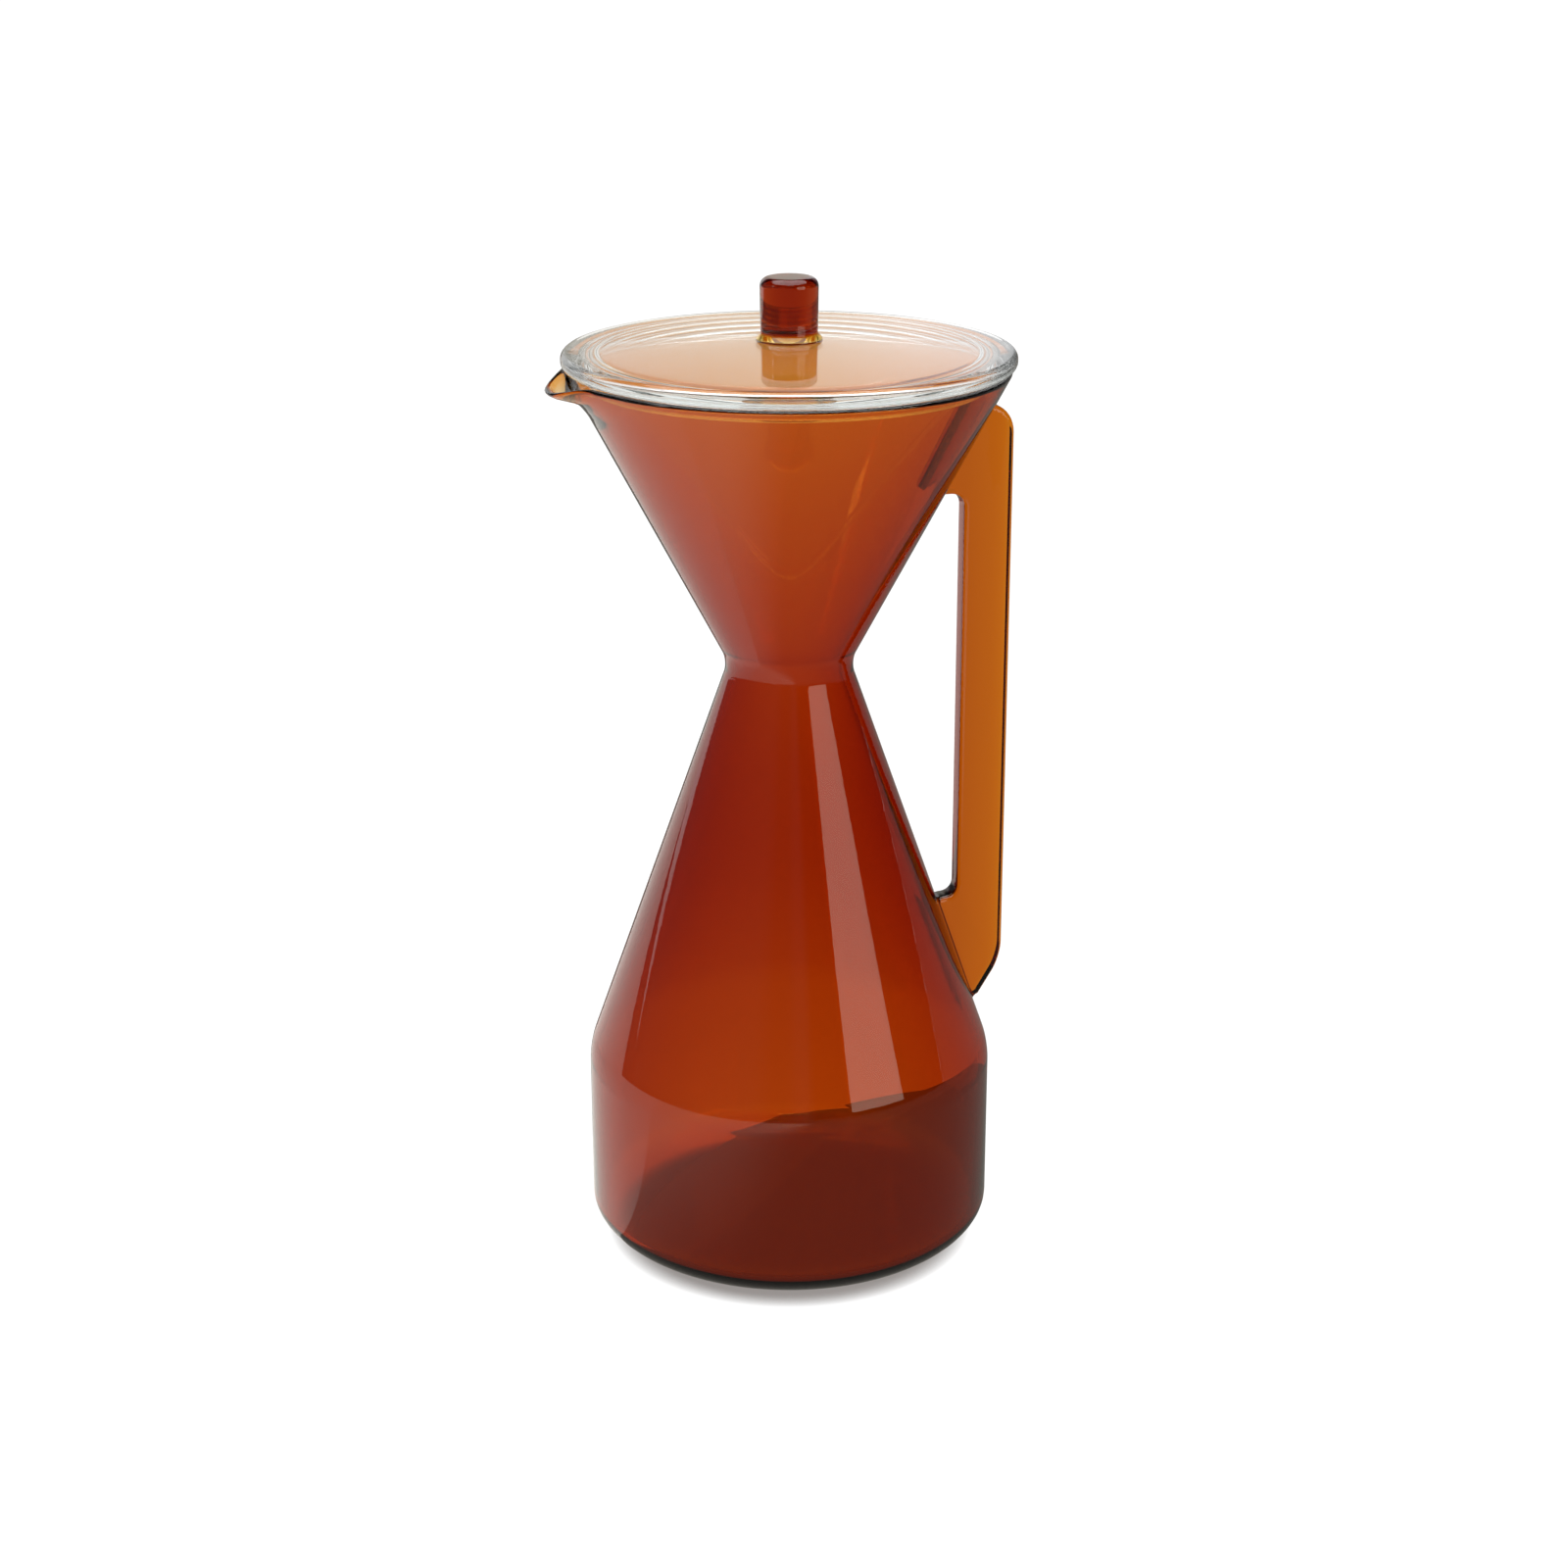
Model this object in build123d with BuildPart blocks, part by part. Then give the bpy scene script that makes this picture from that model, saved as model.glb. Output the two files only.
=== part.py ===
from build123d import *
import os
from math import atan2, cos, radians, sin, tan

os.makedirs("parts", exist_ok=True)

# An hourglass pour-over carafe in flameworked glass, with a flat slab handle and
# a lift-off lid. Millimetres. Z is up and the base stands on Z = 0. The handle
# is on the +X side, the pouring spout on the -X side.

# Vessel, measured on its outside
base_radius = 55.0
base_flat_radius = 33.2
heel_height = 11.5
shoulder_height = 54.5
shoulder_round = 20.0
waist_height = 164.6
waist_radius = 16.2
waist_round = 8.0
rim_height = 243.0
rim_radius = 57.7
wall = 2.4
base_glass = 3.6
rim_round = 0.9

# Spout, pulled out of the rim
spout_depth = 17.0
spout_reach = 9.0
spout_half_angle = 18.0
spout_sections = 5
spout_curve = 3
spout_droop_angle = 22.0

# Handle, a flat slab in the XZ plane. It hangs from the rim and stands above the
# shoulder, and its inner edge keeps clear of both cones where the finger gap ends.
handle_width = 13.5
handle_thickness = 6.5
handle_edge_round = 1.9
handle_below_rim = 12.5
handle_top_round = 6.5
handle_arm_height = 23.5
foot_above_shoulder = 19.0
foot_tip_above_shoulder = 6.0
foot_height = 19.9
foot_round = 12.0
gap_end_width = 6.4
gap_top_round = 3.6
gap_bottom_round = 2.6

# Beads of glass that weld the handle to the vessel
bead_thickness = 1.5
bead_width = 9.6
bead_overrun = 1.2
bead_corner_round = 2.4

# Lid
lid_overhang = 0.8
lid_thickness = 4.2
lid_edge_round = 1.9
lid_dome_rise = 2.5
lid_seat_clearance = 0.3
ring_depth = 3.6
ring_wall = 2.4
ring_round = 1.0
ring_clearance = 0.8

# Knob on the lid, with its collar
knob_radius = 7.6
knob_foot_radius = 7.4
knob_height = 16.0
knob_top_round = 2.4
collar_radius = 8.6
collar_height = 1.8

# Leans of the two cones from the vertical, and the lid's seat
lower_lean = atan2(base_radius - waist_radius, waist_height - shoulder_height)
upper_lean = atan2(rim_radius - waist_radius, rim_height - waist_height)
seat_height = rim_height + lid_seat_clearance
lid_radius = rim_radius + lid_overhang
lid_top = seat_height + lid_thickness
knob_foot = lid_top + lid_dome_rise
spout_root = rim_height - spout_depth


def shoulder_corner(grow):
    """Where the upright side meets the lower cone, both moved outwards by grow."""
    return base_radius + grow, shoulder_height + grow * tan(lower_lean / 2)


def waist_corner(grow):
    """Where the lower cone meets the upper cone, both moved outwards by grow."""
    spread = sin(lower_lean + upper_lean)
    outwards = grow * (sin(lower_lean) + sin(upper_lean)) / spread
    upwards = grow * (cos(upper_lean) - cos(lower_lean)) / spread
    return waist_radius + outwards, waist_height + upwards


def upper_cone_radius(height, grow):
    """Radius of the upper cone at a height, with its surface moved outwards by grow."""
    corner_radius, corner_height = waist_corner(grow)
    return corner_radius + (height - corner_height) * tan(upper_lean)


def lower_cone_radius(height, grow):
    """Radius of the lower cone at a height, with its surface moved outwards by grow."""
    corner_radius, corner_height = waist_corner(grow)
    return corner_radius + (corner_height - height) * tan(lower_lean)


def hourglass(grow, floor, top):
    """Solid hourglass from its floor to a level top, with its sides moved outwards by grow."""
    side_radius = base_radius + grow
    with BuildPart() as form:
        with BuildSketch(Plane.XZ):
            with BuildLine():
                Line((0, top), (0, floor))
                Line((0, floor), (base_flat_radius, floor))
                EllipticalCenterArc(
                    (base_flat_radius, heel_height),
                    side_radius - base_flat_radius,
                    heel_height - floor,
                    start_angle=270,
                    arc_size=90,
                )
                FilletPolyline(
                    (side_radius, heel_height),
                    shoulder_corner(grow),
                    waist_corner(grow),
                    (upper_cone_radius(top, grow), top),
                    radius=[shoulder_round + grow, waist_round - grow],
                )
                Line((upper_cone_radius(top, grow), top), (0, top))
            make_face()
        revolve(axis=Axis.Z)
    return form.part


def lip(grow):
    """Solid top of the funnel, from the root of the spout to the rim, with the spout drawn out."""
    with BuildPart() as form:
        for step in range(spout_sections):
            share = step / (spout_sections - 1)
            height = spout_root + share * spout_depth
            radius = upper_cone_radius(height, grow)
            side = radians(180 - spout_half_angle)
            left = (radius * cos(side), radius * sin(side))
            right = (radius * cos(side), -radius * sin(side))
            tip = (-radius - spout_reach * share**spout_curve, 0)
            with BuildSketch(Plane.XY.offset(height)):
                with BuildLine():
                    CenterArc((0, 0), radius, -180 + spout_half_angle, 360 - 2 * spout_half_angle)
                    if step == 0:
                        ThreePointArc(left, tip, right)
                    else:
                        Spline(
                            left,
                            tip,
                            right,
                            tangents=[(-sin(side), cos(side)), (sin(side), cos(side))],
                        )
                make_face()
        loft()
    return form.part


vessel_form = hourglass(0, 0, spout_root)
cavity_form = hourglass(-wall, base_glass, spout_root)
bead_form = hourglass(bead_thickness, 0, rim_height)

with BuildPart() as carafe_body:
    add(vessel_form)
    add(lip(0))
    add(cavity_form, mode=Mode.SUBTRACT)
    add(lip(-wall), mode=Mode.SUBTRACT)
    with BuildSketch(Plane.XZ):
        with Locations((-rim_radius, rim_height)):
            Rectangle(
                2 * spout_depth,
                2 * spout_depth,
                rotation=spout_droop_angle,
                align=(Align.MAX, Align.MIN),
            )
    extrude(amount=rim_radius, both=True, mode=Mode.SUBTRACT)
    fillet(carafe_body.faces().sort_by(Axis.Z)[-1].edges(), rim_round)

# Heights and radii of the slab's outline and of its finger gap. The outline runs on
# inside the vessel, and the slab is then cut back to the weld beads.
handle_top = rim_height - handle_below_rim
gap_top = handle_top - handle_arm_height
handle_foot = shoulder_height + foot_above_shoulder
gap_bottom = handle_foot + foot_height
foot_tip = shoulder_height + foot_tip_above_shoulder
foot_tip_radius = lower_cone_radius(foot_tip, -wall)
widest_at_gap = max(lower_cone_radius(gap_bottom, 0), upper_cone_radius(gap_top, 0))
handle_inner = widest_at_gap + gap_end_width
handle_outer = handle_inner + handle_width
handle_root = waist_radius / 2

with BuildPart() as handle:
    with BuildSketch(Plane.XZ):
        with BuildLine():
            FilletPolyline(
                (handle_root, handle_top),
                (handle_outer, handle_top),
                (handle_outer, handle_foot),
                (foot_tip_radius, foot_tip),
                radius=[handle_top_round, foot_round],
            )
            Polyline(
                (foot_tip_radius, foot_tip),
                (handle_root, handle_foot),
                (handle_root, handle_top),
            )
        make_face()
        with BuildLine():
            FilletPolyline(
                waist_corner(0),
                (lower_cone_radius(gap_bottom, 0), gap_bottom),
                (handle_inner, gap_bottom),
                (handle_inner, gap_top),
                (upper_cone_radius(gap_top, 0), gap_top),
                radius=[0, gap_bottom_round, gap_bottom_round, gap_top_round, gap_top_round],
                close=True,
            )
        make_face(mode=Mode.SUBTRACT)
    extrude(amount=handle_thickness / 2, both=True)
    fillet(handle.faces().filter_by(Axis.Y).edges(), handle_edge_round)
    add(bead_form, mode=Mode.SUBTRACT)


def weld_bead(low, high):
    """Rounded pad of glass on the vessel's side, between two heights."""
    with BuildPart() as bead:
        with BuildSketch(Plane.YZ.offset(waist_radius)):
            with Locations((0, (low + high) / 2)):
                RectangleRounded(bead_width, high - low, bead_corner_round)
        extrude(amount=handle_outer)
        add(bead_form, mode=Mode.INTERSECT)
        add(hourglass(0, 0, rim_height), mode=Mode.SUBTRACT)
    return bead.part


with BuildPart() as handle_top_weld:
    add(weld_bead(gap_top - bead_overrun, handle_top + bead_overrun))

with BuildPart() as handle_bottom_weld:
    add(weld_bead(foot_tip, gap_bottom + bead_overrun))

# The ring under the lid hangs just inside the funnel
ring_bottom = seat_height - ring_depth
ring_radius = upper_cone_radius(ring_bottom, -wall) - ring_clearance

with BuildPart() as lid_disc:
    with BuildSketch(Plane.XZ) as lid_section:
        with BuildLine():
            Line((0, knob_foot), (0, seat_height + lid_dome_rise))
            TangentArc(
                (0, seat_height + lid_dome_rise),
                (ring_radius - ring_wall, seat_height),
                tangent=(1, 0),
            )
            Polyline(
                (ring_radius - ring_wall, seat_height),
                (lid_radius, seat_height),
                (lid_radius, lid_top),
            )
            TangentArc((0, knob_foot), (lid_radius, lid_top), tangent=(1, 0))
        make_face()
        fillet(lid_section.vertices().group_by(Axis.X)[-1], lid_edge_round)
    revolve(axis=Axis.Z)

with BuildPart() as lid_locating_ring:
    with BuildSketch(Plane.XZ) as ring_section:
        with Locations((ring_radius, ring_bottom)):
            Rectangle(ring_wall, ring_depth, align=(Align.MAX, Align.MIN))
        fillet(ring_section.vertices().group_by(Axis.Y)[0], ring_round)
    revolve(axis=Axis.Z)

with BuildPart() as lid_knob:
    with BuildSketch(Plane.XZ) as knob_section:
        with BuildLine():
            Polyline(
                (0, lid_top),
                (knob_foot_radius, lid_top),
                (knob_radius, knob_foot + knob_height),
                (0, knob_foot + knob_height),
                close=True,
            )
        make_face()
        fillet(knob_section.vertices().group_by(Axis.Y)[-1].sort_by(Axis.X)[-1], knob_top_round)
    revolve(axis=Axis.Z)
    add(lid_disc.part, mode=Mode.SUBTRACT)

with BuildPart() as knob_collar:
    with BuildSketch(Plane.XZ):
        with BuildLine():
            Polyline(
                (knob_radius, knob_foot + collar_height),
                (0, knob_foot + collar_height),
                (0, lid_top),
                (collar_radius, lid_top),
                (collar_radius, knob_foot),
            )
            TangentArc(
                (knob_radius, knob_foot + collar_height),
                (collar_radius, knob_foot),
                tangent=(0, -1),
            )
        make_face()
    revolve(axis=Axis.Z)
    add(lid_disc.part, mode=Mode.SUBTRACT)
    add(lid_knob.part, mode=Mode.SUBTRACT)

carafe_body.part.label = "carafe_body"
export_step(carafe_body.part, "parts/carafe_body.step")

handle.part.label = "handle"
export_step(handle.part, "parts/handle.step")

handle_top_weld.part.label = "handle_top_weld"
export_step(handle_top_weld.part, "parts/handle_top_weld.step")

handle_bottom_weld.part.label = "handle_bottom_weld"
export_step(handle_bottom_weld.part, "parts/handle_bottom_weld.step")

lid_disc.part.label = "lid_disc"
export_step(lid_disc.part, "parts/lid_disc.step")

lid_locating_ring.part.label = "lid_locating_ring"
export_step(lid_locating_ring.part, "parts/lid_locating_ring.step")

lid_knob.part.label = "lid_knob"
export_step(lid_knob.part, "parts/lid_knob.step")

knob_collar.part.label = "knob_collar"
export_step(knob_collar.part, "parts/knob_collar.step")
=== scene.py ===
import math

import bmesh
import bpy
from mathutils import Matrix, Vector


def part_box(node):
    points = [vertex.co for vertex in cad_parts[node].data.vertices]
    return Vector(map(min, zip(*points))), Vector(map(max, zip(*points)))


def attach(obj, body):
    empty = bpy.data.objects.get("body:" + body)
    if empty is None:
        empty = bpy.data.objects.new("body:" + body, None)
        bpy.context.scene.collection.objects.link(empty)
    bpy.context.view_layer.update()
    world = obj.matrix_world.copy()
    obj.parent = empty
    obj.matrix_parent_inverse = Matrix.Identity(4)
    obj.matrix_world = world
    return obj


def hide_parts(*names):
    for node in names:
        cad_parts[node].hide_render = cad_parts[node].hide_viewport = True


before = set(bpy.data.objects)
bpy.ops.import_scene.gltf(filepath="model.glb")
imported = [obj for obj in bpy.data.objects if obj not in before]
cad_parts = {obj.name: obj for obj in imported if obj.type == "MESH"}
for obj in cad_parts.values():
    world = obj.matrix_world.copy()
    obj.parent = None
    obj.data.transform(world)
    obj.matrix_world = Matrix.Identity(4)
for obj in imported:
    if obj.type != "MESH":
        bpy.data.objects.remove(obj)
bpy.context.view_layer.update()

# An hourglass pour-over carafe: a blown amber vessel with a pulled spout, a solid amber
# slab handle, and a clear lid with a solid amber knob. Metres. Z is up, the handle is on
# the +X side, the spout on the -X side.

# Places taken from the frame
vessel_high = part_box("carafe_body")[1]
handle_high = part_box("handle")[1]
lid_low, lid_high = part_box("lid_disc")
ring_low, ring_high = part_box("lid_locating_ring")
knob_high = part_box("lid_knob")[1]
collar_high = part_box("knob_collar")[1]

# The vessel's own sizes, on its outside
BASE_RADIUS = 0.0550
BASE_FLAT_RADIUS = 0.0332
HEEL_HEIGHT = 0.0115
SHOULDER_HEIGHT = 0.0545
SHOULDER_ROUND = 0.020
WAIST_RADIUS = 0.0162
WAIST_HEIGHT = 0.1646
WAIST_ROUND = 0.008
RIM_RADIUS = 0.0577
RIM_HEIGHT = vessel_high.z
SHOULDER_WALL = 0.0026
BELLY_WALL = 0.0036
WAIST_WALL = 0.0030
RIM_WALL = 0.0020
BASE_GLASS = 0.0036
RIM_ROUND = 0.0009
BELLY_ROUND = 1.2

# How the meshes are made
SPIN_STEPS = 240
SAME_PLACE = 1e-6
SHARP_ANGLE = math.radians(40)


def deselect_all():
    bpy.ops.object.select_all(action="DESELECT")


def start_outline(name, place):
    """A new mesh object holding one vertex, in edit mode, ready to be drawn out."""
    deselect_all()
    bpy.ops.mesh.primitive_plane_add(size=0.001, location=place)
    piece = bpy.context.object
    piece.name = name
    bpy.ops.object.transform_apply(location=True, rotation=True, scale=True)
    bpy.ops.object.mode_set(mode="EDIT")
    bpy.ops.mesh.select_mode(type="VERT")
    bpy.ops.mesh.select_all(action="SELECT")
    bpy.ops.mesh.merge(type="CENTER")
    return piece


def select_where(piece, kind, test):
    """In edit mode, selects only the vertices, edges or faces whose middle passes the test."""
    bpy.ops.mesh.select_mode(type=kind)
    bpy.ops.mesh.select_all(action="DESELECT")
    shape = bmesh.from_edit_mesh(piece.data)
    if kind == "VERT":
        for vertex in shape.verts:
            vertex.select_set(test(vertex.co))
    elif kind == "EDGE":
        for edge in shape.edges:
            edge.select_set(test((edge.verts[0].co + edge.verts[1].co) / 2, edge))
    else:
        for face in shape.faces:
            face.select_set(test(face.calc_center_median(), face.normal))
    shape.select_flush_mode()
    bmesh.update_edit_mesh(piece.data)


def draw_outline(name, corners, closed=False, segments=10):
    """Draws straight runs through corners (x, z, rounding) in the XZ plane, then rounds them."""
    places = [Vector((x, 0, z)) for x, z, rounding in corners]
    piece = start_outline(name, places[0])
    for before, after in zip(places, places[1:]):
        bpy.ops.mesh.extrude_region_move(TRANSFORM_OT_translate={"value": after - before})
    if closed:
        ends = (places[0], places[-1])
        select_where(piece, "VERT", lambda at: min((at - end).length for end in ends) < SAME_PLACE)
        bpy.ops.mesh.edge_face_add()
    count = len(places)
    for index, (x, z, rounding) in enumerate(corners):
        if rounding == 0:
            continue
        back = (places[index - 1] - places[index]).normalized()
        on = (places[(index + 1) % count] - places[index]).normalized()
        turn = math.pi - back.angle(on)
        select_where(piece, "VERT", lambda at: (at - places[index]).length < SAME_PLACE)
        bpy.ops.mesh.bevel(
            offset=rounding * math.tan(turn / 2),
            offset_type="OFFSET",
            affect="VERTICES",
            segments=segments,
            profile=0.5,
            clamp_overlap=False,
        )
    return piece


def close_up():
    """Merges the points that meet, and turns every face outwards."""
    bpy.ops.mesh.select_all(action="SELECT")
    bpy.ops.mesh.remove_doubles(threshold=SAME_PLACE)
    bpy.ops.mesh.normals_make_consistent(inside=False)


def spin_round():
    """Spins the drawn outline about the upright axis into a closed body of glass."""
    bpy.ops.mesh.select_mode(type="VERT")
    bpy.ops.mesh.select_all(action="SELECT")
    bpy.ops.mesh.spin(steps=SPIN_STEPS, angle=math.tau, center=(0, 0, 0), axis=(0, 0, 1))
    close_up()


def finish_piece(piece, material, body, nodes, sharp_angle=None):
    """Leaves edit mode, smooths the shading and puts the piece in its place in the frame."""
    bpy.ops.object.mode_set(mode="OBJECT")
    deselect_all()
    piece.select_set(True)
    bpy.context.view_layer.objects.active = piece
    if sharp_angle is None:
        bpy.ops.object.shade_smooth()
    else:
        bpy.ops.object.shade_smooth_by_angle(angle=sharp_angle)
    piece.data.materials.clear()
    piece.data.materials.append(material)
    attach(piece, body)
    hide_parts(*nodes)


# Materials

WHITE = (1, 1, 1, 1)
GLASS_IOR = 1.47
DENSITY_HEADROOM = 1.02

# How strongly each glass absorbs red, green and blue light, per millimetre
BLOWN_AMBER_ABSORBS = (0.190, 0.60, 1.50)
SOLID_AMBER_ABSORBS = (0.100, 0.295, 0.90)
CLEAR_ABSORBS = (0.0022, 0.0018, 0.0020)

# Painted shade on the slab handle's surface, from its side towards the vessel to its outer side
SLAB_INNER_PAINTED_SHADE = (0.80, 0.62, 0.90, 1)
SLAB_MIDDLE_PAINTED_SHADE = (0.90, 0.78, 0.92, 1)
SLAB_MIDDLE_PLACE = 0.7


def remap(tree, source, start, end, first, last, smooth=False):
    """Turns a value running from start to end into one from first to last; gives its socket."""
    node = tree.nodes.new("ShaderNodeMapRange")
    if smooth:
        node.interpolation_type = "SMOOTHSTEP"
    node.inputs["From Min"].default_value = start
    node.inputs["From Max"].default_value = end
    node.inputs["To Min"].default_value = first
    node.inputs["To Max"].default_value = last
    tree.links.new(source, node.inputs["Value"])
    return node.outputs["Result"]


def glass(name, absorbs, waviness, wave_scale, haze):
    """Glass tinted by its depth, with the faint waves and wipe marks of its surface."""
    material = bpy.data.materials.new(name)
    material.use_nodes = True
    nodes = material.node_tree.nodes
    links = material.node_tree.links
    surface = nodes["Principled BSDF"]
    surface.inputs["Base Color"].default_value = WHITE
    surface.inputs["Transmission Weight"].default_value = 1
    surface.inputs["IOR"].default_value = GLASS_IOR

    depth = nodes.new("ShaderNodeVolumeAbsorption")
    depth_colour, depth_density = absorption(absorbs)
    depth.inputs["Color"].default_value = depth_colour
    depth.inputs["Density"].default_value = depth_density
    links.new(depth.outputs["Volume"], nodes["Material Output"].inputs["Volume"])

    place = nodes.new("ShaderNodeTexCoord")
    waves = nodes.new("ShaderNodeTexNoise")
    waves.inputs["Scale"].default_value = wave_scale
    waves.inputs["Detail"].default_value = 1
    links.new(place.outputs["Object"], waves.inputs["Vector"])
    swell = nodes.new("ShaderNodeBump")
    swell.inputs["Strength"].default_value = 1
    swell.inputs["Distance"].default_value = waviness
    links.new(waves.outputs["Fac"], swell.inputs["Height"])
    links.new(swell.outputs["Normal"], surface.inputs["Normal"])

    marks = nodes.new("ShaderNodeTexNoise")
    marks.inputs["Scale"].default_value = wave_scale * 6
    marks.inputs["Detail"].default_value = 4
    links.new(place.outputs["Object"], marks.inputs["Vector"])
    polish = remap(material.node_tree, marks.outputs["Fac"], 0.35, 0.75, 0.0, haze)
    links.new(polish, surface.inputs["Roughness"])
    return material


def absorption(per_mm):
    """The colour and density of a Volume Absorption that takes off these amounts per millimetre."""
    density = max(per_mm) * 1000 * DENSITY_HEADROOM
    colour = [1 - share * 1000 / density for share in per_mm]
    return (*colour, 1), density


blown_amber = glass("blown_amber_glass", BLOWN_AMBER_ABSORBS, waviness=0.00004, wave_scale=22, haze=0.02)
solid_amber = glass("solid_amber_glass", SOLID_AMBER_ABSORBS, waviness=0.00002, wave_scale=30, haze=0.02)
# The slab's glass carries painted shade in its surface tint, deeper on the side towards the vessel
slab_amber_painted_shade = glass("slab_amber_glass_painted_shade", SOLID_AMBER_ABSORBS, waviness=0.00002, wave_scale=30, haze=0.02)
clear_glass = glass("clear_lid_glass", CLEAR_ABSORBS, waviness=0.00002, wave_scale=30, haze=0.01)


def paint_shade_across(material, inner, outer):
    """Paints shade on the slab's surface, deeper towards the vessel. The slab is equally thick all over.
    """
    nodes = material.node_tree.nodes
    links = material.node_tree.links
    split = nodes.new("ShaderNodeSeparateXYZ")
    links.new(nodes["Texture Coordinate"].outputs["Object"], split.inputs["Vector"])
    share = remap(material.node_tree, split.outputs["X"], inner, outer, 0, 1)
    # Painted shade: deepest on the side towards the vessel, none on the outer side
    painted_shade = nodes.new("ShaderNodeValToRGB")
    painted_shade.color_ramp.elements[0].color = SLAB_INNER_PAINTED_SHADE
    painted_shade.color_ramp.elements[1].color = WHITE
    middle = painted_shade.color_ramp.elements.new(SLAB_MIDDLE_PLACE)
    middle.color = SLAB_MIDDLE_PAINTED_SHADE
    links.new(share, painted_shade.inputs["Fac"])
    links.new(painted_shade.outputs["Color"], nodes["Principled BSDF"].inputs["Base Color"])


# Vessel


def cone_corners(grow):
    """The shoulder's and the waist's corners and both slopes, the sides moved outwards by grow."""
    lower_lean = math.atan2(BASE_RADIUS - WAIST_RADIUS, WAIST_HEIGHT - SHOULDER_HEIGHT)
    upper_lean = math.atan2(RIM_RADIUS - WAIST_RADIUS, RIM_HEIGHT - WAIST_HEIGHT)
    spread = math.sin(lower_lean + upper_lean)
    shoulder = (BASE_RADIUS + grow, SHOULDER_HEIGHT + grow * math.tan(lower_lean / 2))
    waist = (
        WAIST_RADIUS + grow * (math.sin(lower_lean) + math.sin(upper_lean)) / spread,
        WAIST_HEIGHT + grow * (math.cos(upper_lean) - math.cos(lower_lean)) / spread,
    )
    return shoulder, waist, math.tan(lower_lean), math.tan(upper_lean)


def upper_radius(height, grow=0):
    """The upper cone's radius at a height, with its side moved outwards by grow."""
    _, waist, _, slope = cone_corners(grow)
    return waist[0] + (height - waist[1]) * slope


def lower_radius(height, grow=0):
    """The lower cone's radius at a height, with its side moved outwards by grow."""
    _, waist, slope, _ = cone_corners(grow)
    return waist[0] + (waist[1] - height) * slope


HEEL_STEPS = 14
FUNNEL_STEPS = 26
SPOUT_ROOT = RIM_HEIGHT - 0.032


def side_run(floor, shoulder_wall=0, belly_wall=0, waist_wall=0, rim_wall=0):
    """One face of the glass, from the middle of the floor up to the rim, as (x, z, rounding)."""
    reach = BASE_RADIUS - shoulder_wall - BASE_FLAT_RADIUS
    run = [(0, floor, 0), (BASE_FLAT_RADIUS / 2, floor, 0), (BASE_FLAT_RADIUS, floor, 0)]
    for step in range(1, HEEL_STEPS + 1):
        turn = math.pi / 2 * step / HEEL_STEPS
        rise = (HEEL_HEIGHT - floor) * (1 - math.cos(turn))
        run.append((BASE_FLAT_RADIUS + reach * math.sin(turn), floor + rise, 0))
    shoulder = cone_corners(-shoulder_wall)[0]
    waist = cone_corners(-waist_wall)[1]
    rim = (upper_radius(RIM_HEIGHT, -rim_wall), RIM_HEIGHT)
    run.append((*shoulder, SHOULDER_ROUND - shoulder_wall))
    if belly_wall:
        middle = (shoulder[1] + waist[1]) / 2
        run.append((lower_radius(middle, -belly_wall), middle, BELLY_ROUND))
    run.append((*waist, WAIST_ROUND + waist_wall))
    for step in range(FUNNEL_STEPS):
        height = SPOUT_ROOT + (RIM_HEIGHT - SPOUT_ROOT) * step / FUNNEL_STEPS
        share = (height - waist[1]) / (RIM_HEIGHT - waist[1])
        run.append((waist[0] + (rim[0] - waist[0]) * share, height, 0))
    run.append((*rim, RIM_ROUND))
    return run


SPOUT_STRETCH = 2.3
SPOUT_HALF_WIDTH = 0.0015
SPOUT_GRIP_HEIGHT = 0.001
SPOUT_SWELL_REACH = 0.0028
SPOUT_SWELL_SIZE = 0.026
SPOUT_LIP_REACH = 0.0036
SPOUT_LIP_DROOP = 0.0027
SPOUT_LIP_SIZE = 0.015


def pull(piece, reach, droop, size):
    """Pulls the rim's spout side out and down, with the glass around it following.

    The vessel is stretched upright meanwhile, so that the pull runs further round the rim
    than down the cone.
    """
    rim_middle = (0, 0, RIM_HEIGHT)
    bpy.ops.mesh.select_all(action="SELECT")
    bpy.ops.transform.resize(value=(1, 1, SPOUT_STRETCH), center_override=rim_middle)
    select_where(
        piece,
        "VERT",
        lambda at: at.x < 0
        and at.z > RIM_HEIGHT - SPOUT_GRIP_HEIGHT
        and abs(at.y) < SPOUT_HALF_WIDTH,
    )
    bpy.ops.transform.translate(
        value=(-reach, 0, -droop * SPOUT_STRETCH),
        use_proportional_edit=True,
        proportional_edit_falloff="SMOOTH",
        proportional_size=size,
    )
    bpy.ops.mesh.select_all(action="SELECT")
    bpy.ops.transform.resize(value=(1, 1, 1 / SPOUT_STRETCH), center_override=rim_middle)


def make_vessel():
    outside = side_run(0)
    inside = side_run(BASE_GLASS, SHOULDER_WALL, BELLY_WALL, WAIST_WALL, RIM_WALL)
    piece = draw_outline("vessel", outside + inside[::-1])
    spin_round()
    pull(piece, SPOUT_SWELL_REACH, droop=0, size=SPOUT_SWELL_SIZE)
    pull(piece, SPOUT_LIP_REACH, droop=SPOUT_LIP_DROOP, size=SPOUT_LIP_SIZE)
    finish_piece(piece, blown_amber, "carafe", ["carafe_body"])


# Handle

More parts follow.
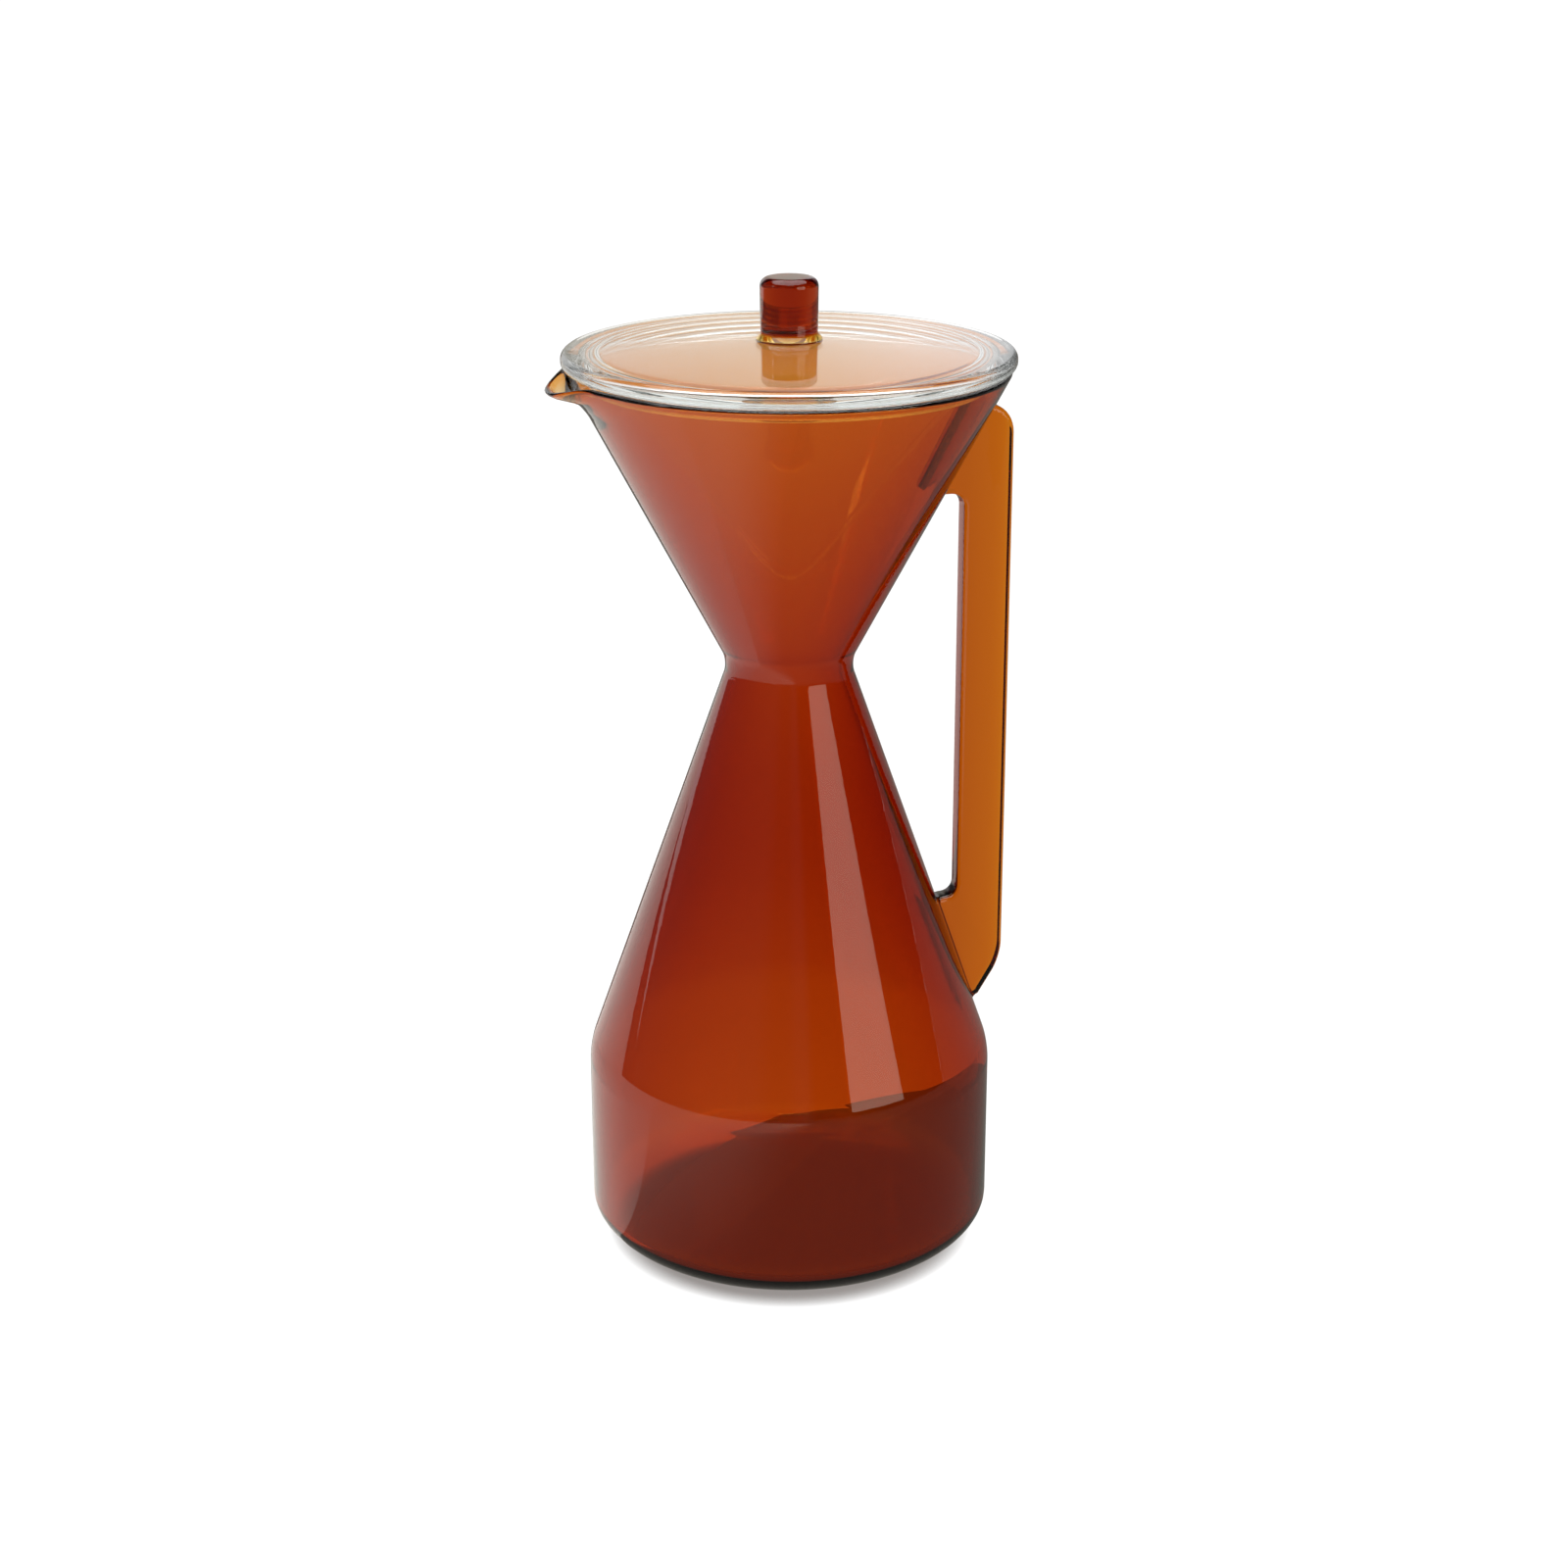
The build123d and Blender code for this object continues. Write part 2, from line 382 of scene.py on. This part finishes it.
HANDLE_WIDTH = 0.0135
HANDLE_OUTER = handle_high.x
HANDLE_INNER = HANDLE_OUTER - HANDLE_WIDTH
HANDLE_HALF = handle_high.y
HANDLE_EDGE_ROUND = 0.0015
HANDLE_TOP_ROUND = 0.0078
FOOT_ROUND = 0.016
FOOT_HEIGHT = SHOULDER_HEIGHT + 0.019
FOOT_TIP = SHOULDER_HEIGHT + 0.0085
GAP_BOTTOM = FOOT_HEIGHT + 0.0199
GAP_TOP = handle_high.z - 0.0235
GAP_BOTTOM_ROUND = 0.0034
GAP_TOP_ROUND = 0.0036
WELD_HEIGHT = 0.0024
WELD_DEPTH = 0.0004
WELD_SIDE_SPREAD = 0.0010
TOP_WELD_END_SPREAD = 0.0012
FOOT_WELD_END_SPREAD = 0.0024
WELD_STEPS = 6
ON_THE_CONE = 1e-5


def on_cone(at, grow):
    """Whether a point lies over the cones' line in the XZ plane, at this height off the glass."""
    radius = upper_radius(at.z, grow) if at.z > WAIST_HEIGHT else lower_radius(at.z, grow)
    return abs(at.x - radius) < ON_THE_CONE


def draw_slab():
    """The slab handle's flat outline, stood up to its full thickness, its roots just off the glass."""
    corners = [
        (upper_radius(handle_high.z, WELD_HEIGHT), handle_high.z, 0),
        (HANDLE_OUTER, handle_high.z, HANDLE_TOP_ROUND),
        (HANDLE_OUTER, FOOT_HEIGHT, FOOT_ROUND),
        (lower_radius(FOOT_TIP, WELD_HEIGHT), FOOT_TIP, 0),
        (lower_radius(GAP_BOTTOM, WELD_HEIGHT), GAP_BOTTOM, 0),
        (HANDLE_INNER, GAP_BOTTOM, GAP_BOTTOM_ROUND),
        (HANDLE_INNER, GAP_TOP, GAP_TOP_ROUND),
        (upper_radius(GAP_TOP, WELD_HEIGHT), GAP_TOP, 0),
    ]
    piece = draw_outline("slab_handle", corners, closed=True)
    bpy.ops.mesh.select_mode(type="VERT")
    bpy.ops.mesh.select_all(action="SELECT")
    bpy.ops.mesh.edge_face_add()
    bpy.ops.mesh.select_all(action="SELECT")
    bpy.ops.transform.translate(value=(0, -HANDLE_HALF, 0))
    bpy.ops.mesh.extrude_region_move(TRANSFORM_OT_translate={"value": (0, 2 * HANDLE_HALF, 0)})
    bpy.ops.mesh.select_all(action="SELECT")
    bpy.ops.mesh.normals_make_consistent(inside=False)
    return piece


def round_slab(piece):
    """Rounds the slab's long edges over, all but those at its two roots."""
    select_where(
        piece,
        "EDGE",
        lambda middle, edge: abs(abs(middle.y) - HANDLE_HALF) < SAME_PLACE
        and not all(on_cone(vertex.co, WELD_HEIGHT) for vertex in edge.verts),
    )
    bpy.ops.mesh.bevel(
        offset=HANDLE_EDGE_ROUND, affect="EDGES", segments=8, profile=0.5, clamp_overlap=False
    )


def flare_weld(piece, top, end_spread):
    """Draws one root of the slab down into the cone's glass, spreading out as hot glass does."""
    select_where(
        piece,
        "FACE",
        lambda at, normal: (at.z > WAIST_HEIGHT) == top
        and normal.x < -0.5
        and on_cone(at, WELD_HEIGHT),
    )
    shape = bmesh.from_edit_mesh(piece.data)
    root = [face for face in shape.faces if face.select][0]
    inwards = root.normal.copy()
    middle = root.calc_center_median()
    heights = [vertex.co.z for vertex in root.verts]
    half_length = (max(heights) - min(heights)) / 2 / math.sqrt(1 - inwards.z * inwards.z)
    depth = WELD_HEIGHT + WELD_DEPTH
    sunk = 0
    long_scale = 1
    wide_scale = 1
    for step in range(1, WELD_STEPS + 1):
        turn = math.pi / 2 * step / WELD_STEPS
        drop = depth * math.sin(turn) - sunk
        sunk += drop
        middle += inwards * drop
        spread = 1 - math.cos(turn)
        longer = (half_length + end_spread * spread) / half_length
        wider = (HANDLE_HALF + WELD_SIDE_SPREAD * spread) / HANDLE_HALF
        bpy.ops.mesh.extrude_region_move(TRANSFORM_OT_translate={"value": inwards * drop})
        along = longer / long_scale
        bpy.ops.transform.resize(value=(along, wider / wide_scale, along), center_override=middle)
        long_scale = longer
        wide_scale = wider
    bpy.ops.mesh.extrude_region_move(TRANSFORM_OT_translate={"value": inwards * WELD_DEPTH})


def make_handle():
    piece = draw_slab()
    round_slab(piece)
    flare_weld(piece, top=True, end_spread=TOP_WELD_END_SPREAD)
    flare_weld(piece, top=False, end_spread=FOOT_WELD_END_SPREAD)
    close_up()
    paint_shade_across(slab_amber_painted_shade, HANDLE_INNER, HANDLE_OUTER)
    finish_piece(
        piece,
        slab_amber_painted_shade,
        "carafe",
        ["handle", "handle_top_weld", "handle_bottom_weld"],
        sharp_angle=SHARP_ANGLE,
    )


# Lid

LID_EDGE_ROUND = 0.0019
RING_ROUND = 0.0010
RING_WALL = 0.0024
RING_ROOT_ROUND = 0.0012
RING_INNER_ROUND = 0.0022
DOME_RISE = 0.0025
DOME_STEPS = 14


def dome_run(radius, rim_height, rise):
    """A shallow dome as an arc from the axis out to a radius, as (x, z, rounding)."""
    ball = (radius * radius + rise * rise) / (2 * rise)
    spread = math.asin(radius / ball)
    run = []
    for step in range(DOME_STEPS + 1):
        turn = spread * step / DOME_STEPS
        run.append((ball * math.sin(turn), rim_height + rise - ball * (1 - math.cos(turn)), 0))
    return run


def make_lid():
    edge = lid_high.x
    seat = lid_low.z
    edge_top = lid_high.z - DOME_RISE
    ring_inner = ring_high.x - RING_WALL
    top = dome_run(edge, edge_top, DOME_RISE)
    under = dome_run(ring_inner, seat, DOME_RISE)
    top[-1] = (edge, edge_top, LID_EDGE_ROUND)
    outline = top + [
        (edge, seat, LID_EDGE_ROUND),
        (ring_high.x, seat, RING_ROOT_ROUND),
        (ring_high.x, ring_low.z, RING_ROUND),
        (ring_inner, ring_low.z, RING_ROUND),
    ]
    under[-1] = (ring_inner, seat, RING_INNER_ROUND)
    outline += under[::-1]
    piece = draw_outline("lid_plate", outline)
    spin_round()
    finish_piece(
        piece, clear_glass, "lid", ["lid_disc", "lid_locating_ring"]
    )


# Knob

KNOB_TOP_ROUND = 0.0024
KNOB_TAPER = 0.0002
KNOB_FOOT_HEIGHT = 0.0018
KNOB_FOOT_ROUND = 0.0012
COLLAR_HEIGHT = 0.0004
COLLAR_ROUND = 0.0003
KNOB_SINK = 0.0004
KNOB_ROUND_STEPS = 8


def make_knob():
    foot = lid_high.z
    outline = [
        (0, knob_high.z, 0),
        (knob_high.x / 2, knob_high.z, 0),
        (knob_high.x, knob_high.z, KNOB_TOP_ROUND),
        (knob_high.x - KNOB_TAPER, foot + KNOB_FOOT_HEIGHT, KNOB_FOOT_ROUND),
        (collar_high.x, foot + COLLAR_HEIGHT, COLLAR_ROUND),
        (collar_high.x, foot - KNOB_SINK, 0),
        (0, foot - KNOB_SINK, 0),
    ]
    piece = draw_outline("knob", outline, segments=KNOB_ROUND_STEPS)
    spin_round()
    finish_piece(
        piece, solid_amber, "lid", ["lid_knob", "knob_collar"], SHARP_ANGLE
    )


make_vessel()
make_handle()
make_lid()
make_knob()


# Studio

VIEW_AZIMUTH = math.radians(16.6)
CAMERA_DISTANCE = 0.7364
CAMERA_HEIGHT = 0.3842
CAMERA_PITCH = math.radians(70.94)
SENSOR_WIDTH = 36
LENS = 66.5
LENS_SHIFT = -0.0033
FAR_CLIP = 50

camera_data = bpy.data.cameras.new("camera")
camera = bpy.data.objects.new("camera", camera_data)
bpy.context.scene.collection.objects.link(camera)
camera.location = (
    -CAMERA_DISTANCE * math.sin(VIEW_AZIMUTH),
    -CAMERA_DISTANCE * math.cos(VIEW_AZIMUTH),
    CAMERA_HEIGHT,
)
camera.rotation_euler = (CAMERA_PITCH, 0, -VIEW_AZIMUTH)
camera_data.sensor_width = SENSOR_WIDTH
camera_data.lens = LENS
camera_data.shift_x = LENS_SHIFT
camera_data.clip_end = FAR_CLIP
bpy.context.scene.camera = camera


FLOOR_RADIUS = 30
FLOOR_HEIGHT = -0.0004
FLOOR_GLOW = 1.08
FLOOR_GLOW_SHARE = 0.95
# The painted contact shadow round the foot: how far it reaches and its darkest colour
PAINTED_SHADOW_REACH = 0.005
PAINTED_SHADOW_COLOUR = (0.30, 0.28, 0.27, 1)


def make_floor():
    """A wide white floor that glows by itself, with a painted contact shadow round the foot."""
    deselect_all()
    bpy.ops.mesh.primitive_circle_add(
        vertices=96, radius=FLOOR_RADIUS, fill_type="NGON", location=(0, 0, FLOOR_HEIGHT)
    )
    floor = bpy.context.object
    floor.name = "floor"
    material = bpy.data.materials.new("studio_floor_painted_shadow")
    material.use_nodes = True
    nodes = material.node_tree.nodes
    links = material.node_tree.links
    surface = nodes["Principled BSDF"]
    surface.inputs["Base Color"].default_value = (0.93, 0.93, 0.93, 1)
    surface.inputs["Roughness"].default_value = 0.6
    surface.inputs["Specular IOR Level"].default_value = 0.0
    # Paints the contact shadow into the floor's glow, darker where ambient occlusion finds the vessel
    # near
    near = nodes.new("ShaderNodeAmbientOcclusion")
    near.samples = 16
    near.inputs["Distance"].default_value = PAINTED_SHADOW_REACH
    shade = nodes.new("ShaderNodeValToRGB")
    shade.color_ramp.elements[0].position = 0.25
    shade.color_ramp.elements[0].color = PAINTED_SHADOW_COLOUR
    shade.color_ramp.elements[1].position = 0.88
    shade.color_ramp.elements[1].color = WHITE
    links.new(near.outputs["AO"], shade.inputs["Fac"])
    glow = nodes.new("ShaderNodeEmission")
    glow.inputs["Strength"].default_value = FLOOR_GLOW
    links.new(shade.outputs["Color"], glow.inputs["Color"])
    blend = nodes.new("ShaderNodeMixShader")
    blend.inputs["Fac"].default_value = FLOOR_GLOW_SHARE
    links.new(surface.outputs["BSDF"], blend.inputs[1])
    links.new(glow.outputs["Emission"], blend.inputs[2])
    links.new(blend.outputs["Shader"], nodes["Material Output"].inputs["Surface"])
    floor.data.materials.append(material)


def glowing_material(name, colour, strength):
    material = bpy.data.materials.new(name)
    material.use_nodes = True
    nodes = material.node_tree.nodes
    glow = nodes.new("ShaderNodeEmission")
    glow.inputs["Color"].default_value = colour
    glow.inputs["Strength"].default_value = strength
    material.node_tree.links.new(glow.outputs["Emission"], nodes["Material Output"].inputs["Surface"])
    return material


CARD_HEIGHT = -0.0002
CARD_GAP = 0.00005
NEAR_LEFT = -0.9
NEAR_FRONT = -1.2
LEFT_END = 1.4
CORNER_RIGHT = -2.6
CORNER_FAR = 25
FAR = 20
GRADED_GLOW = (1, 0.94, 0.84, 1)
DIM_STRENGTH = 0.12
SIDE_GLOW = (1, 0.95, 0.88, 1)
# A grey glow that paints the vessel's shadow on the floor, seen only through the base
PAINTED_SHADOW_GLOW = (1, 0.97, 0.95, 1)
PAINTED_SHADOW_STRENGTH = 0.36
PAINTED_SHADOW_LEFT = 0.067
PAINTED_SHADOW_DISC_RADIUS = 0.125
PAINTED_SHADOW_DISC_PLACE = (PAINTED_SHADOW_LEFT, -0.053, CARD_HEIGHT)


def stage_card(card, name, material):
    """Makes a mesh a card that only the glass sees, as what it mirrors or lets through."""
    card.name = name
    card.data.materials.append(material)
    card.visible_camera = False
    card.visible_diffuse = False
    card.visible_shadow = False


def lay_card(name, material, left, right, front, back):
    """An oblong card lying on the floor."""
    deselect_all()
    bpy.ops.mesh.primitive_plane_add(size=1, location=(0, 0, CARD_HEIGHT))
    card = bpy.context.object
    bpy.ops.transform.resize(value=(right - left, back - front, 1))
    bpy.ops.transform.translate(value=((left + right) / 2, (front + back) / 2, 0))
    bpy.ops.object.transform_apply(location=True, rotation=True, scale=True)
    stage_card(card, name, material)
    return card


def graded_material(name, start, end, bright, dim):
    """A glow that runs from bright to dim along X."""
    material = glowing_material(name, GRADED_GLOW, 1)
    nodes = material.node_tree.nodes
    links = material.node_tree.links
    place = nodes.new("ShaderNodeTexCoord")
    split = nodes.new("ShaderNodeSeparateXYZ")
    links.new(place.outputs["Object"], split.inputs["Vector"])
    fade = remap(material.node_tree, split.outputs["X"], start, end, bright, dim, smooth=True)
    links.new(fade, nodes["Emission"].inputs["Strength"])
    return material


def make_cards():
    """What the glass mirrors of the floor round it, and what is seen of it through the base.

    They are laid for the front view. The grey card and disc are a painted shadow of the vessel on the
    floor, seen only through the base, and the others show only as reflections.
    """
    mirrored = lay_card(
        "mirrored_card",
        graded_material("graded_card", start=-0.17, end=-0.03, bright=0.92, dim=0.22),
        left=NEAR_LEFT, right=FAR, front=NEAR_FRONT, back=FAR,
    )
    dim = glowing_material("dim_card", WHITE, DIM_STRENGTH)
    far_left = lay_card(
        "far_left_card", dim, left=-FAR, right=NEAR_LEFT, front=NEAR_FRONT, back=LEFT_END
    )
    far_corner = lay_card(
        "far_corner_card", dim,
        left=-CORNER_FAR, right=CORNER_RIGHT, front=LEFT_END, back=CORNER_FAR,
    )
    far_front = lay_card("far_front_card", dim, left=-FAR, right=FAR, front=-FAR, back=NEAR_FRONT)
    white = glowing_material("white_card", SIDE_GLOW, 1.0)
    beside = lay_card("side_card", white, left=NEAR_LEFT, right=-0.045, front=-0.004, back=FAR)
    bpy.ops.transform.translate(value=(0, 0, CARD_GAP))
    for card in (mirrored, far_left, far_corner, far_front, beside):
        card.visible_transmission = False
    # Painted shadow: a grey card and disc under and behind the vessel, seen only through the glass
    painted_shadow = glowing_material("painted_shadow_material", PAINTED_SHADOW_GLOW, PAINTED_SHADOW_STRENGTH)
    under = lay_card(
        "seen_through_painted_shadow_card", painted_shadow, left=PAINTED_SHADOW_LEFT, right=0.30, front=-0.20, back=0.072
    )
    deselect_all()
    bpy.ops.mesh.primitive_circle_add(
        vertices=128, radius=PAINTED_SHADOW_DISC_RADIUS, fill_type="NGON", location=PAINTED_SHADOW_DISC_PLACE
    )
    disc = bpy.context.object
    stage_card(disc, "seen_through_painted_shadow_disc", painted_shadow)
    for card in (under, disc):
        card.visible_glossy = False


LAMP_DISTANCE = 1.4
LAMP_AIM = Vector((0, 0, 0.12))


def softbox(name, azimuth, elevation, width, height, strength, colour=(1, 1, 1)):
    """An area light at an angle round from the front of the object, facing it."""
    data = bpy.data.lights.new(name, "AREA")
    data.shape = "RECTANGLE"
    data.size = width
    data.size_y = height
    data.energy = strength
    data.color = colour
    lamp = bpy.data.objects.new(name, data)
    turn = azimuth - VIEW_AZIMUTH
    flat = LAMP_DISTANCE * math.cos(elevation)
    lamp.location = LAMP_AIM + Vector(
        (flat * math.sin(turn), -flat * math.cos(turn), LAMP_DISTANCE * math.sin(elevation))
    )
    lamp.rotation_euler = (LAMP_AIM - lamp.location).to_track_quat("-Z", "Y").to_euler()
    bpy.context.scene.collection.objects.link(lamp)


def make_lamps():
    """A broad overhead glow, a warm window on the right and a small lamp on the left."""
    overhead = bpy.data.lights.new("overhead", "SUN")
    overhead.energy = 3.35
    overhead.angle = math.radians(80)
    overhead_lamp = bpy.data.objects.new("overhead", overhead)
    bpy.context.scene.collection.objects.link(overhead_lamp)
    softbox(
        "window", math.radians(50), math.radians(18),
        width=0.8, height=0.75, strength=4.9, colour=(1, 0.88, 0.72),
    )
    softbox(
        "left_lamp", math.radians(-72), math.radians(32),
        width=0.16, height=0.30, strength=0.7,
    )


# How bright the mirrored walls are from right to left, as (place from 0 to 1, colour)
WALL_RIGHT = (0.37, (0.22, 0.22, 0.22, 1))
WALL_LEFT = (0.68, (1.1, 1.1, 1.1, 1))
WALL_BETWEEN = [
    (0.42, (1.0, 1.02, 1.05, 1)),
    (0.47, (0.95, 0.95, 0.94, 1)),
    (0.50, (0.72, 0.69, 0.60, 1)),
    (0.58, (0.68, 0.65, 0.56, 1)),
]


def facing(tree, source, direction):
    """How nearly a direction in the room faces the one given, from -1 to 1; gives its socket."""
    node = tree.nodes.new("ShaderNodeVectorMath")
    node.operation = "DOT_PRODUCT"
    node.inputs[1].default_value = direction
    tree.links.new(source, node.inputs[0])
    return node.outputs["Value"]


def make_world():
    """Walls that are bright low down behind the object and dim elsewhere, and a bright ceiling.

    The glass mirrors this. The camera, and rays that pass through the glass, see plain white.
    """
    world = bpy.data.worlds.new("studio")
    bpy.context.scene.world = world
    world.use_nodes = True
    nodes = world.node_tree.nodes
    links = world.node_tree.links
    place = nodes.new("ShaderNodeTexCoord")
    split = nodes.new("ShaderNodeSeparateXYZ")
    links.new(place.outputs["Generated"], split.inputs["Vector"])
    room = place.outputs["Generated"]
    height = remap(world.node_tree, split.outputs["Z"], 0.40, 0.50, 1.0, 0.06)
    turned = facing(
        world.node_tree, room, (math.sin(-VIEW_AZIMUTH), -math.cos(VIEW_AZIMUTH), 0)
    )
    behind = remap(world.node_tree, turned, -0.83, -0.75, 1.0, 0.12, smooth=True)

    across = facing(
        world.node_tree, room, (-math.cos(VIEW_AZIMUTH), math.sin(VIEW_AZIMUTH), 0)
    )
    shifted = remap(world.node_tree, across, -1, 1, 0, 1)
    sides = nodes.new("ShaderNodeValToRGB")
    ramp = sides.color_ramp
    for element, (position, colour) in zip(ramp.elements, (WALL_RIGHT, WALL_LEFT)):
        element.position = position
        element.color = colour
    for position, colour in WALL_BETWEEN:
        element = ramp.elements.new(position)
        element.color = colour
    links.new(shifted, sides.inputs["Fac"])

    level = nodes.new("ShaderNodeMath")
    level.operation = "MULTIPLY"
    links.new(height, level.inputs[0])
    links.new(behind, level.inputs[1])
    ceiling = remap(world.node_tree, split.outputs["Z"], 0.72, 0.86, 0.0, 0.8)
    strength = nodes.new("ShaderNodeMath")
    strength.operation = "ADD"
    links.new(level.outputs["Value"], strength.inputs[0])
    links.new(ceiling, strength.inputs[1])
    mirrored = nodes["Background"]
    links.new(sides.outputs["Color"], mirrored.inputs["Color"])
    links.new(strength.outputs["Value"], mirrored.inputs["Strength"])
    seen_through = nodes.new("ShaderNodeBackground")
    seen_through.inputs["Color"].default_value = WHITE
    path = nodes.new("ShaderNodeLightPath")
    either = nodes.new("ShaderNodeMath")
    either.operation = "MAXIMUM"
    links.new(path.outputs["Is Camera Ray"], either.inputs[0])
    links.new(path.outputs["Is Transmission Ray"], either.inputs[1])
    choice = nodes.new("ShaderNodeMixShader")
    links.new(either.outputs["Value"], choice.inputs["Fac"])
    links.new(mirrored.outputs["Background"], choice.inputs[1])
    links.new(seen_through.outputs["Background"], choice.inputs[2])
    links.new(choice.outputs["Shader"], nodes["World Output"].inputs["Surface"])


make_floor()
make_cards()
make_world()
make_lamps()

scene = bpy.context.scene
scene.view_settings.view_transform = "Standard"
scene.cycles.max_bounces = 24
scene.cycles.transmission_bounces = 24
scene.cycles.glossy_bounces = 12
scene.cycles.diffuse_bounces = 4
scene.cycles.caustics_reflective = True
scene.cycles.caustics_refractive = True
